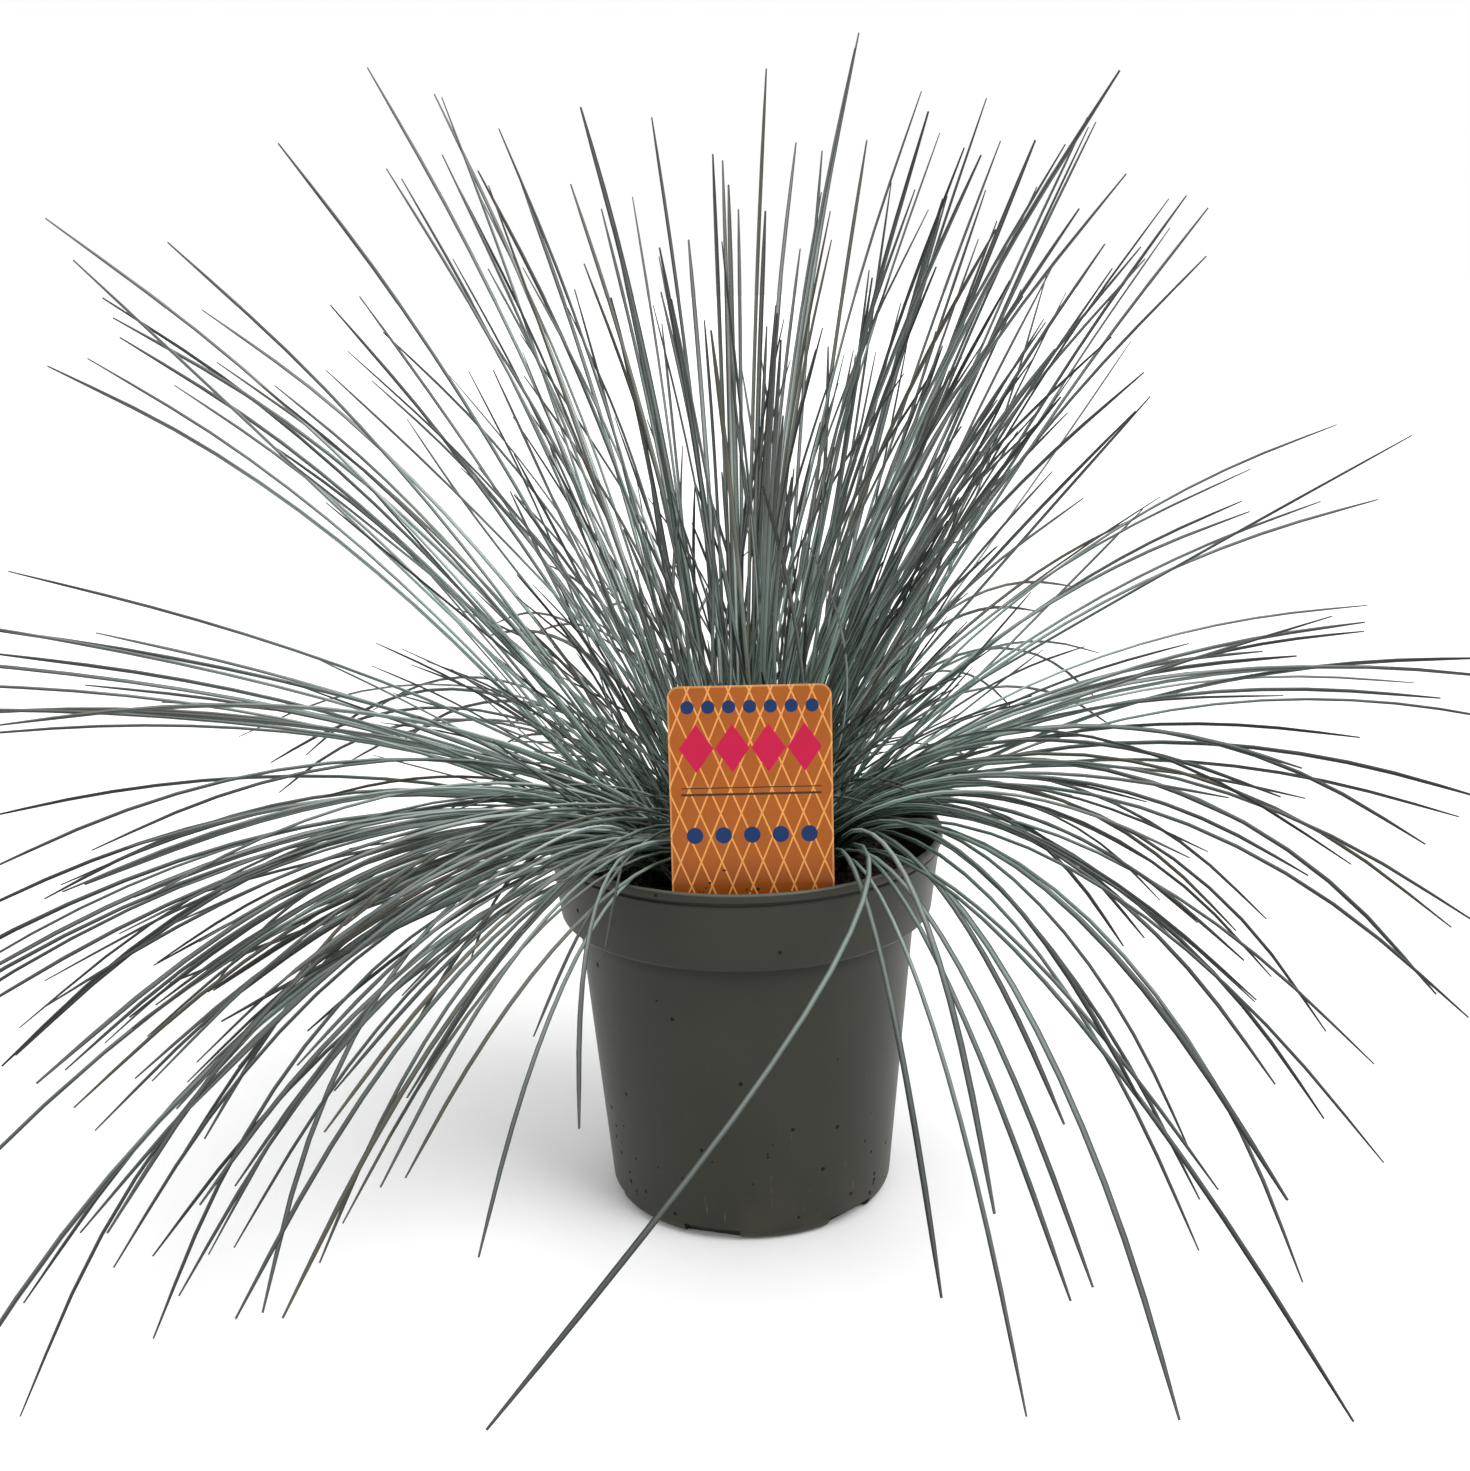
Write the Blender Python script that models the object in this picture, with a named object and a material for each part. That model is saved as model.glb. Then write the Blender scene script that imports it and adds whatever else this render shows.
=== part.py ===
"""Blue fescue in a nursery pot: a fountain of needle leaves, its soil, the plastic pot and a plant label.

Metres, +Z up. The origin is the middle of the pot's underside, and -Y is the side with the label.
"""
import math
import random

import bmesh
import bpy
from mathutils import Matrix, Vector

CM = 0.01
MM = 0.001
GAP = 0.3 * MM

# The pot, a 13 cm round nursery pot: a plain tapered body under a wider collar.
POT_HEIGHT = 12.6 * CM
RIM_RADIUS = 6.5 * CM
LIP_HEIGHT = 0.35 * CM
COLLAR_TOP_RADIUS = 6.40 * CM
COLLAR_FOOT_RADIUS = 6.14 * CM
COLLAR_FOOT_HEIGHT = 9.95 * CM
BODY_TOP_RADIUS = 5.57 * CM
BODY_FOOT_RADIUS = 4.76 * CM
FOOT_ROUNDING = 0.45 * CM
WALL = 0.15 * CM
FLOOR = 0.20 * CM
POT_SIDES = 48

# Drainage notches, cut up into the pot's lower edge.
NOTCHES = 6
FIRST_NOTCH = -107.0
NOTCH_WIDTH = 1.9 * CM
NOTCH_HEIGHT = 0.42 * CM
NOTCH_DEPTH = 0.8 * CM

# The soil: level round the crown of the plant, a little lower and lumpy towards the pot.
CROWN_LEVEL = 11.2 * CM
SOIL_EDGE_LEVEL = 10.85 * CM
CROWN_RADIUS = 3.5 * CM
SOIL_LUMP = 0.12 * CM
SOIL_INSET = 0.085 * CM  # from the pot's wall, so that its flat sides stay clear of the round wall
SOIL_SIDES = 24
SOIL_RINGS = 5

# The plant label: a printed plate that narrows to a pointed stake below the rim.
LABEL_MIDDLE = 0.2 * CM
LABEL_WIDTH = 4.9 * CM
LABEL_THICKNESS = 0.05 * CM
LABEL_TOP = 18.65 * CM
LABEL_CORNER = 0.35 * CM
STAKE_WIDTH = 1.2 * CM
STAKE_TIP = 0.2 * CM
# Its course as (y, z, width): it leans on the rim, draws in over a shoulder and bends into the soil.
LABEL_COURSE = [
    (-4.95 * CM, LABEL_TOP, LABEL_WIDTH), (-5.60 * CM, 12.60 * CM, LABEL_WIDTH),
    (-5.63 * CM, 12.30 * CM, LABEL_WIDTH), (-5.66 * CM, 11.90 * CM, 3.0 * CM),
    (-5.58 * CM, 11.30 * CM, STAKE_WIDTH), (-5.38 * CM, 10.60 * CM, STAKE_WIDTH),
    (-5.05 * CM, 9.60 * CM, STAKE_WIDTH), (-4.70 * CM, 8.40 * CM, STAKE_WIDTH),
    (-4.35 * CM, 7.20 * CM, STAKE_TIP),
]

# The leaves. Each shoot is one sheath from which two to four leaves part.
SEED = 5
SHEATH_RADIUS = 1.35 * MM
SHEATH_HEIGHT = 1.0 * CM
SHEATH_LEAN = 0.8  # of its leading leaf's lean
SHOOT_SPACING = 4.4 * MM
ROOT_IN = 0.4 * CM
ROOT_OUT = 2.95 * CM
FULL_LEAN = 55.0
STANDING_STEPS = 6
ARCHING_STEPS = 7
ARCHING_DROOP = 40.0
PARTS_PER_STEP = 8
STEP_GROWTH = 1.25
LEAF_TAPER = 2.2
BLADE_SHARE = 0.62
# How a shoot's leaves differ from its habit: the leading leaf, those beside it and the one behind it. Angles
# are in degrees, and the shares are of the leading leaf's own droop, turn and length.
LEAD_SWING = 1.5
LEAD_SWAY = 1
BESIDE_LEAST = 2.5
BESIDE_MOST = 9
BEHIND_SWING = 2
BESIDE_SET_BACK = (1, 4)
BEHIND_SET_BACK = (6, 12)
DROOP_SHARES = (0.78, 1.02)
TURN_SHARES = (0.0, 0.2)  # a leaf that sweeps sideways does so nearly alone
LENGTH_SHARES = (0.72, 0.97)
BUSHY_EVERY = 3
# The sectors of a sheath's top, as pairs of its corners: the outer one first, then left, right and inner.
SECTORS_OF_THREE = [(2, 0), (0, 1), (1, 2)]
SECTORS_OF_FOUR = [(3, 0), (0, 1), (2, 3), (1, 2)]
SECTOR_REACH = 0.75

# Room kept between the leaves, and from the pot, the label and the floor.
TRIES = 1800
TRIES_PER_SPOT = 4
TRIES_TO_LOOSEN = 400
SPOTS_TRIED = 44
ROOM_ROUND_LEAF = 0.3 * MM
LOWEST_LEAF = 0.4 * CM
ROOM_OVER_RIM = 0.2 * CM
POT_MOUTH = COLLAR_FOOT_RADIUS - WALL - ROOM_OVER_RIM
ROOM_BESIDE_LABEL = 0.15 * CM
LABEL_FRONT = -6.4 * CM
LABEL_BACK = -4.5 * CM
# Spaces left free for watering before and behind the crown, up to the rim, as (left, right, front, back).
WATERING_SPACES = [(-2.4 * CM, 2.4 * CM, -5.4 * CM, -3.2 * CM), (-2.6 * CM, 2.6 * CM, 3.8 * CM, 5.4 * CM)]
ROOM_ROUND_SPACE = 0.3 * CM
# Arching leaves within this many degrees of the front part round the label, to either side of it.
FRONT = -90.0
LABEL_PARTING = 45.0
PARTED_TO = 74.0
ARCHING = 90.0

# The clump as sprays, each a number of shoots that fan out from its first azimuth and lean to its last. Then
# come its droop and its sideways turn, all in degrees, its length in centimetres, and where it bends: under 1
# close to the crown, over 1 towards the tip.
SPRAYS = [
    (6, (220, 245), (50, 45), 80, 0, 28, 0.5),     # hanging in a bundle at the lower left
    (4, (200, 220), (40, 40), 80, 0, 25, 0.5),     # arching out over the left
    (4, (175, 205), (45, 50), 45, 0, 27, 0.5),     # lying nearly flat to the left
    (1, (-70, -70), (45, 45), 75, -85, 28, 0.6),   # sweeping across the front of the pot
    (3, (-80, -65), (40, 45), 90, 0, 27, 0.4),     # hanging in front of the pot's right side
    (5, (-55, -20), (45, 35), 95, 0, 27, 0.7),     # arching out over the right
    (4, (-20, 15), (40, 45), 60, 0, 26, 0.6),      # lying nearly flat to the right
    (2, (0, 30), (35, 35), 40, 0, 25, 0.8),        # rising above those
    (5, (40, 150), (40, 40), 80, 0, 25, 0.7),      # arching over the back, as guessed
    (4, (155, 185), (40, 30), 25, 0, 28, 1.5),     # standing out to the upper left
    (8, (60, 165), (15, 25), 20, 0, 29, 1.5),      # the fan above the crown
    (4, (20, 55), (30, 25), 10, 0, 28, 1.5),       # standing out to the upper right
    (5, (-60, 30), (5, 25), 25, 0, 26, 1.0),       # standing in front of the fan
]
# How far a shoot differs from its spray, in degrees or as a share.
SPRAY_SWING = 3
SPRAY_SWAY = 4
SPRAY_DROOPS = (0.8, 1.2)
SPRAY_LENGTHS = (0.85, 1.05)
SPRAY_BENDS = (0.8, 1.25)


def clear_scene():
    for thing in list(bpy.data.objects):
        bpy.data.objects.remove(thing, do_unlink=True)


def material(name, colour, roughness):
    made = bpy.data.materials.new(name)
    made.use_nodes = True
    shader = made.node_tree.nodes["Principled BSDF"]
    shader.inputs["Base Color"].default_value = (*colour, 1.0)
    shader.inputs["Roughness"].default_value = roughness
    shader.inputs["Metallic"].default_value = 0.0
    return made


def add_object(name, points, faces, finish):
    mesh = bpy.data.meshes.new(name)
    mesh.from_pydata(points, [], faces)
    mesh.update()
    thing = bpy.data.objects.new(name, mesh)
    bpy.context.collection.objects.link(thing)
    mesh.materials.append(finish)
    return thing


def turned(profile, sides):
    """Points and faces of a closed profile turned round Z. It runs down the outside, from axis to axis."""
    points, rings, faces = [], [], []
    for radius, height in profile:
        if radius == 0:
            rings.append([len(points)] * sides)
            points.append((0.0, 0.0, height))
            continue
        rings.append(list(range(len(points), len(points) + sides)))
        for side in range(sides):
            angle = math.tau * side / sides
            points.append((radius * math.cos(angle), radius * math.sin(angle), height))
    for upper, lower in zip(rings, rings[1:]):
        for side in range(sides):
            after = (side + 1) % sides
            corners = [upper[side], lower[side], lower[after], upper[after]]
            faces.append(list(dict.fromkeys(corners)))
    return points, faces


# ---------------------------------------------------------------- pot

def pot_inner_profile():
    """The inner wall from the lip down to the floor, as (radius, height)."""
    return [
        (COLLAR_TOP_RADIUS - WALL, POT_HEIGHT - LIP_HEIGHT),
        (COLLAR_FOOT_RADIUS - WALL, COLLAR_FOOT_HEIGHT + 0.1 * CM),
        (BODY_TOP_RADIUS - WALL, COLLAR_FOOT_HEIGHT - 0.2 * CM),
        (BODY_FOOT_RADIUS - WALL, FOOT_ROUNDING),
        (BODY_FOOT_RADIUS - WALL - 0.25 * CM, FLOOR),
    ]


def pot_outer_profile():
    lip = 0.07 * CM
    foot_edge = 0.08 * CM
    corner = FOOT_ROUNDING
    rounding = [(BODY_FOOT_RADIUS - corner * (1 - math.cos(a)), corner * (1 - math.sin(a)))
                for a in (0.0, math.radians(30), math.radians(60), math.radians(90))]
    return [
        (RIM_RADIUS - WALL - 0.02 * CM, POT_HEIGHT - 0.03 * CM),
        (RIM_RADIUS - lip, POT_HEIGHT),
        (RIM_RADIUS, POT_HEIGHT - lip),
        (RIM_RADIUS, POT_HEIGHT - LIP_HEIGHT + lip),
        (COLLAR_TOP_RADIUS, POT_HEIGHT - LIP_HEIGHT),
        (COLLAR_FOOT_RADIUS, COLLAR_FOOT_HEIGHT + foot_edge),
        (COLLAR_FOOT_RADIUS - foot_edge, COLLAR_FOOT_HEIGHT),
        (BODY_TOP_RADIUS + foot_edge, COLLAR_FOOT_HEIGHT - foot_edge),
        (BODY_TOP_RADIUS, COLLAR_FOOT_HEIGHT - 3 * foot_edge),
        *rounding,
    ]


def notch_cutters():
    """One box for each drainage notch, set on the pot's lower edge."""
    cutters = bmesh.new()
    for number in range(NOTCHES):
        angle = math.radians(FIRST_NOTCH) + math.tau * number / NOTCHES
        size = Matrix.Diagonal((NOTCH_DEPTH, NOTCH_WIDTH, 2 * NOTCH_HEIGHT, 1.0))
        place = Matrix.Rotation(angle, 4, "Z") @ Matrix.Translation((BODY_FOOT_RADIUS - 0.1 * CM, 0, 0))
        bmesh.ops.create_cube(cutters, size=1.0, matrix=place @ size)
    mesh = bpy.data.meshes.new("notch_cutters")
    cutters.to_mesh(mesh)
    cutters.free()
    thing = bpy.data.objects.new("notch_cutters", mesh)
    bpy.context.collection.objects.link(thing)
    thing.hide_render = True
    thing.display_type = "WIRE"
    return thing


def cut(thing, cutter):
    boolean = thing.modifiers.new("cut", "BOOLEAN")
    boolean.operation = "DIFFERENCE"
    boolean.solver = "EXACT"
    boolean.object = cutter


def make_pot():
    profile = [(0.0, FLOOR)] + pot_inner_profile()[::-1] + pot_outer_profile() + [(0.0, 0.0)]
    points, faces = turned(profile, POT_SIDES)
    pot = add_object("pot", points, faces, material("pot_plastic", (0.052, 0.053, 0.044), 0.45))
    cut(pot, notch_cutters())
    pot.data.shade_smooth()
    pot.data.set_sharp_from_angle(angle=math.radians(30))


# ---------------------------------------------------------------- label

def label_rows():
    """The label's rows from top to tip, as (y, z, half of its width), and the way each row faces."""
    course = [Vector((y, z, width / 2)) for y, z, width in LABEL_COURSE]
    rows = []
    for angle in (0.0, math.radians(30), math.radians(60), math.radians(90)):
        down = LABEL_CORNER * (1 - math.cos(angle))
        row = course[0].lerp(course[1], down / (course[0].y - course[1].y))
        row.z -= LABEL_CORNER * (1 - math.sin(angle))
        rows.append(row)
    rows += course[1:]
    facings = []
    for number in range(len(rows)):
        above, below = rows[max(number - 1, 0)], rows[max(number, 1)]
        run = Vector((0.0, below.x - above.x, below.y - above.y)).normalized()
        facings.append(Vector((0.0, run.z, -run.y)))
    return [(*row, facing) for row, facing in zip(rows, facings)]


def label_solid(extra):
    """Points and faces of the label, grown by extra on every side."""
    points, faces = [], []
    rows = label_rows()
    for number, (y, z, half, facing) in enumerate(rows):
        lift = extra if number == 0 else -extra if number == len(rows) - 1 else 0.0
        middle = Vector((LABEL_MIDDLE, y, z + lift))
        depth = facing * (LABEL_THICKNESS / 2 + extra)
        across = Vector((half + extra, 0, 0))
        points += [middle - across + depth, middle + across + depth,
                   middle + across - depth, middle - across - depth]
    for row in range(len(rows) - 1):
        for side in range(4):
            a, b = 4 * row + side, 4 * row + (side + 1) % 4
            faces.append([a, a + 4, b + 4, b])
    last = len(points) - 4
    faces += [[0, 1, 2, 3], [last + 3, last + 2, last + 1, last]]
    return points, faces


def make_label():
    points, faces = label_solid(0.0)
    add_object("plant_label", points, faces, material("label_plastic", (0.43, 0.12, 0.014), 0.4))


# ---------------------------------------------------------------- soil

def make_soil():
    """A plug that fills the pot to a lumpy top, level where the shoots stand, with a slot for the label."""
    draw = random.Random(SEED)
    inset = SOIL_INSET
    side = [(radius - inset, height) for radius, height in pot_inner_profile()[1:-1]]
    edge = (COLLAR_FOOT_RADIUS - WALL - inset + 0.08 * CM, SOIL_EDGE_LEVEL)
    foot = (side[-1][0] - 0.3 * CM, FLOOR + GAP)
    rings = [(CROWN_RADIUS, CROWN_LEVEL)]
    for ring in range(1, SOIL_RINGS):
        share = ring / SOIL_RINGS
        rings.append((CROWN_RADIUS + share * (edge[0] - CROWN_RADIUS),
                      CROWN_LEVEL + share * (edge[1] - CROWN_LEVEL)))
    profile = [(0.0, CROWN_LEVEL)] + rings + [edge] + side + [foot, (0.0, FLOOR + GAP)]
    points, faces = turned(profile, SOIL_SIDES)
    lumpy = range(1 + SOIL_SIDES, 1 + SOIL_SIDES * SOIL_RINGS)
    points = [(x, y, z + draw.uniform(-SOIL_LUMP, SOIL_LUMP)) if number in lumpy else (x, y, z)
              for number, (x, y, z) in enumerate(points)]
    soil = add_object("soil", points, faces, material("potting_soil", (0.022, 0.015, 0.010), 0.95))
    slot_points, slot_faces = label_solid(GAP)
    slot = add_object("label_slot", slot_points, slot_faces, soil.data.materials[0])
    slot.hide_render = True
    slot.display_type = "WIRE"
    cut(soil, slot)


# ---------------------------------------------------------------- leaves

def direction(tilt, heading):
    """The way that leans by tilt from upright towards heading, both in degrees."""
    tilt, heading = math.radians(tilt), math.radians(heading)
    return Vector((math.sin(tilt) * math.cos(heading), math.sin(tilt) * math.sin(heading), math.cos(tilt)))


def leaf_course(root, habit, steps):
    """Points down the middle of one leaf, the way it runs at each, and each one's share of its length."""
    azimuth, lean, droop, turn, length, bend = habit
    shares = [(step / steps) ** STEP_GROWTH for step in range(steps + 1)]
    free_length = length * CM - SHEATH_HEIGHT
    place = root.copy()
    points, ways = [root.copy()], []
    for start, end in zip(shares, shares[1:]):
        for part in range(PARTS_PER_STEP):
            share = start + (end - start) * (part + 0.5) / PARTS_PER_STEP
            way = direction(lean + droop * share ** bend, azimuth + turn * share)
            place = place + way * (free_length * (end - start) / PARTS_PER_STEP)
            if part == 0:
                ways.append(way)
        points.append(place.copy())
    ways.append(way)
    return points, ways, shares


def leaf_girth(share):
    """How thick a leaf is at a share of its length, set against its sector of the sheath."""
    return 1.0 if share == 0 else BLADE_SHARE * (1.0 - share ** LEAF_TAPER)


def crown_spots():
    """Places for the shoots, packed side by side over the crown."""
    spots = []
    rows = int(CROWN_RADIUS / SHOOT_SPACING) + 1
    for row in range(-rows, rows + 1):
        for column in range(-rows, rows + 1):
            spot = Vector(((column + 0.5 * (row % 2)) * SHOOT_SPACING, row * SHOOT_SPACING * math.sqrt(0.75), 0))
            if spot.length < CROWN_RADIUS - 2 * SHEATH_RADIUS:
                spots.append(spot)
    return spots


def wanted_root(lead):
    """A leaf that leans far grows from the edge of the crown, an upright one from its middle.

    The arching shoots at the front part round the label and grow from either side of it.
    """
    azimuth, lean, droop = lead[:3]
    out = ROOT_IN + (ROOT_OUT - ROOT_IN) * min(1.0, lean / FULL_LEAN)
    from_front = (azimuth - FRONT + 180) % 360 - 180
    if abs(from_front) < LABEL_PARTING and lean + droop > ARCHING:
        from_front = math.copysign(PARTED_TO, from_front)
        out = ROOT_OUT
    return out * direction(90, FRONT + from_front)


def closest_spots(lead, free):
    root = wanted_root(lead)
    return sorted(free, key=lambda spot: (spot - root).length)[:SPOTS_TRIED]


def in_watering_space(spot):
    room = ROOM_ROUND_SPACE
    return spot.z < POT_HEIGHT + room and any(
        left - room < spot.x < right + room and front - room < spot.y < back + room
        for left, right, front, back in WATERING_SPACES)


def clears_pot(points):
    """Whether a leaf stays over the rim and the floor, beside the label and out of the watering spaces."""
    for here, there in zip(points, points[1:]):
        for quarter in (0.25, 0.5, 0.75, 1.0):
            spot = here.lerp(there, quarter)
            out = math.hypot(spot.x, spot.y)
            if spot.z < LOWEST_LEAF or in_watering_space(spot):
                return False
            if POT_MOUTH < out < RIM_RADIUS + ROOM_OVER_RIM and spot.z < POT_HEIGHT + ROOM_OVER_RIM:
                return False
            by_label = LABEL_FRONT < spot.y < LABEL_BACK and spot.z < LABEL_TOP + ROOM_BESIDE_LABEL
            if by_label and abs(spot.x - LABEL_MIDDLE) < LABEL_WIDTH / 2 + ROOM_BESIDE_LABEL:
                return False
    return True


def distance(a, b, c, d):
    """The shortest way between the straight stretches a to b and c to d."""
    u, v, w = b - a, d - c, a - c
    uu, uv, vv, uw, vw = u.dot(u), u.dot(v), v.dot(v), u.dot(w), v.dot(w)
    spread = uu * vv - uv * uv
    first = min(1.0, max(0.0, (uv * vw - vv * uw) / spread)) if spread > 1e-14 else 0.0
    second = min(1.0, max(0.0, (uv * first + vw) / vv))
    first = min(1.0, max(0.0, (uv * second - uw) / uu))
    return (w + first * u - second * v).length


def leaves_clear(leaf, others, start=0):
    """Whether a leaf keeps its room from the others, each given as its points and their shares."""
    points, shares = leaf
    for other_points, other_shares in others:
        for i in range(start, len(points) - 1):
            for j in range(start, len(other_points) - 1):
                reach = (points[i + 1] - points[i]).length + (other_points[j + 1] - other_points[j]).length
                if (points[i] - other_points[j]).length > reach + 2 * SHEATH_RADIUS:
                    continue
                thickness = (leaf_girth(shares[i]) + leaf_girth(other_shares[j])) * SECTOR_REACH * SHEATH_RADIUS
                near = distance(points[i], points[i + 1], other_points[j], other_points[j + 1])
                if near < thickness + ROOM_ROUND_LEAF:
                    return False
    return True


def leading_leaves(draw):
    """The longest leaf of each shoot: its azimuth, lean, droop, turn, length and bend."""
    leads = []
    for shoots, (azimuth, last_azimuth), (lean, last_lean), droop, turn, length, bend in SPRAYS:
        for number in range(shoots):
            share = (number + 0.5) / shoots
            leads.append((
                azimuth + share * (last_azimuth - azimuth) + draw.uniform(-SPRAY_SWING, SPRAY_SWING),
                lean + share * (last_lean - lean) + draw.uniform(-SPRAY_SWAY, SPRAY_SWAY),
                droop * draw.uniform(*SPRAY_DROOPS), turn,
                length * draw.uniform(*SPRAY_LENGTHS), bend * draw.uniform(*SPRAY_BENDS)))
    return leads


def shoot_habits(lead, count, loose, draw):
    """The habits of a shoot's leaves: the leading one outside, the others beside and behind it."""
    azimuth, lean, droop, turn, length, bend = lead
    azimuth += draw.uniform(-LEAD_SWING, LEAD_SWING) * loose
    lean += draw.uniform(-LEAD_SWAY, LEAD_SWAY) * loose
    out = Vector((math.cos(math.radians(azimuth)), math.sin(math.radians(azimuth))))
    left = Vector((-out.y, out.x))
    habits = [(azimuth, lean, droop, turn, length, bend)]
    for side in (1, -1, 0)[:count - 1]:
        if side:
            aside = side * draw.uniform(BESIDE_LEAST, BESIDE_MOST / loose)
        else:
            aside = draw.uniform(-BEHIND_SWING, BEHIND_SWING)
        back = draw.uniform(*(BESIDE_SET_BACK if side else BEHIND_SET_BACK))
        tilt = out * (lean - back) + left * aside
        habits.append((math.degrees(math.atan2(tilt.y, tilt.x)), tilt.length,
                       droop * draw.uniform(*DROOP_SHARES), turn * draw.uniform(*TURN_SHARES),
                       length * draw.uniform(*LENGTH_SHARES), bend))
    return habits


def sheath(spot, lead, sectors):
    """A sheath's foot, its top, and the corners of its top, which it shares out between its leaves."""
    foot = spot + Vector((0, 0, CROWN_LEVEL + GAP))
    axis = direction(SHEATH_LEAN * lead[1], lead[0])
    top = foot + axis * SHEATH_HEIGHT
    side = Vector((0, 0, 1)).cross(axis).normalized()
    out = side.cross(axis)
    ring = [top + (math.cos(a) * out + math.sin(a) * side) * SHEATH_RADIUS
            for a in (math.tau * (corner + 0.5) / sectors for corner in range(sectors))]
    return foot, top, ring


def leaf_count(attempt, bushy):
    """Four leaves on a bushy shoot, or three, and two where the crown is too full for more."""
    if attempt < TRIES // 4 and bushy:
        return 4
    return 3 if attempt < TRIES // 2 else 2


def grow_shoot(free, lead, bushy, grown, draw):
    """The first draw of a shoot that touches nothing, with the spot that it stands on."""
    spots = closest_spots(lead, free)
    for attempt in range(TRIES):
        spot = spots[attempt // TRIES_PER_SPOT % len(spots)]
        count = leaf_count(attempt, bushy)
        habits = shoot_habits(lead, count, 1 + attempt / TRIES_TO_LOOSEN, draw)
        foot, top, ring = sheath(spot, lead, max(3, count))
        sectors = SECTORS_OF_FOUR if count == 4 else SECTORS_OF_THREE
        steps = ARCHING_STEPS if lead[2] > ARCHING_DROOP else STANDING_STEPS
        leaves = [leaf_course((top + ring[first] + ring[second]) / 3, habit, steps)
                  for habit, (first, second) in zip(habits, sectors)]
        lines = [(points, shares) for points, ways, shares in leaves]
        stem = ([foot, top], [0.0, 0.0])
        if not all(clears_pot(points) for points, shares in lines + [stem]):
            continue
        if not all(leaves_clear(lines[i], lines[:i], start=1) for i in range(len(lines))):
            continue
        if all(leaves_clear(line, grown) for line in lines + [stem]):
            grown += lines + [stem]
            return spot, foot, top, ring, sectors, leaves
    raise RuntimeError(f"no room on the crown for the shoot {lead}")


def shoot_mesh(foot, top, ring, sectors, leaves):
    """One closed surface: a sheath whose top is shared out between the leaves, each drawn to a point."""
    sides = len(ring)
    lower = [Vector((foot.x + corner.x - top.x, foot.y + corner.y - top.y, foot.z)) for corner in ring]
    points = lower + ring + [top]
    centre = 2 * sides
    faces = [list(range(sides))[::-1]]
    faces += [[i, (i + 1) % sides, sides + (i + 1) % sides, sides + i] for i in range(sides)]
    faces += [[centre, sides + first, sides + second] for first, second in sectors[len(leaves):]]
    for (course, ways, shares), (first, second) in zip(leaves, sectors):
        last = [centre, sides + first, sides + second]
        corners = [points[index] - course[0] for index in last]
        for step in range(1, len(course) - 1):
            turn = ways[step - 1].rotation_difference(ways[step])
            corners = [turn @ corner for corner in corners]
            fresh = list(range(len(points), len(points) + 3))
            points += [course[step] + corner * leaf_girth(shares[step]) for corner in corners]
            faces += [[last[i], last[(i + 1) % 3], fresh[(i + 1) % 3], fresh[i]] for i in range(3)]
            last = fresh
        faces += [[last[i], last[(i + 1) % 3], len(points)] for i in range(3)]
        points.append(course[-1])
    return points, faces


def make_leaves():
    draw = random.Random(SEED)
    green = material("fescue_leaf", (0.085, 0.125, 0.108), 0.5)
    free = crown_spots()
    grown = []
    for number, lead in enumerate(leading_leaves(draw), start=1):
        spot, *shoot = grow_shoot(free, lead, number % BUSHY_EVERY == 0, grown, draw)
        free.remove(spot)
        points, faces = shoot_mesh(*shoot)
        add_object(f"shoot_{number:02d}", points, faces, green)


clear_scene()
make_pot()
make_label()
make_soil()
make_leaves()
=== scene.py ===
"""The looks of a potted blue fescue clump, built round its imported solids.

Metres, +Z up, -Y towards the front with the plant label. The grass grows along the courses of the shoots' own
leaves, with finer leaves beside them. The pot and the label are laid out finer than their solids, and the
soil keeps its solid under a scatter of crumbs.
"""

import itertools
import math
import random

import bmesh
import bpy
from mathutils import Matrix, Quaternion, Vector


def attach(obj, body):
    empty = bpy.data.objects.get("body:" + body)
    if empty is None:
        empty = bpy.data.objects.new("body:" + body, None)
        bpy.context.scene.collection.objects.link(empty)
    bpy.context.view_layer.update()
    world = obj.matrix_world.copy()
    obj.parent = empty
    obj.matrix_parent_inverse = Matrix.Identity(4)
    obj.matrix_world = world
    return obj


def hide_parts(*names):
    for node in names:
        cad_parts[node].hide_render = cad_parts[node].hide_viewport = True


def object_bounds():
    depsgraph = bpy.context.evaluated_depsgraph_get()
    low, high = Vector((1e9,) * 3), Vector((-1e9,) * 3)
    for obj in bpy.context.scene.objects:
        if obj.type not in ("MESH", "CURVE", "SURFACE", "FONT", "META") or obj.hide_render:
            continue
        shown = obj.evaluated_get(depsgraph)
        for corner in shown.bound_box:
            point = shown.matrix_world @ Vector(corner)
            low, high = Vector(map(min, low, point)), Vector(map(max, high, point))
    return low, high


CM = 0.01
MM = 0.001
HAIR = 1e-6  # nearer than this, two places count as one
SEED = 23

# ---------------------------------------------------------------- sizes

# The pot, as its solid has it.
POT_HEIGHT = 12.6 * CM
RIM_RADIUS = 6.5 * CM
LIP_HEIGHT = 0.35 * CM
LIP_GROOVE = 0.05 * CM
COLLAR_TOP_RADIUS = 6.40 * CM
COLLAR_FOOT_RADIUS = 6.14 * CM
COLLAR_FOOT_HEIGHT = 9.95 * CM
BODY_TOP_RADIUS = 5.57 * CM
BODY_FOOT_RADIUS = 4.76 * CM
FOOT_ROUNDING = 0.45 * CM
WALL = 0.15 * CM
FLOOR = 0.20 * CM
PROFILE_ROUNDING = 0.05 * CM
POT_SIDES = 144
POT_SHARP_ANGLE = 32
NOTCHES = 6
FIRST_NOTCH = -107.0
NOTCH_WIDTH = 1.9 * CM
NOTCH_HEIGHT = 0.42 * CM
NOTCH_DEPTH = 0.8 * CM
NOTCH_INSET = 0.1 * CM

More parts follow.
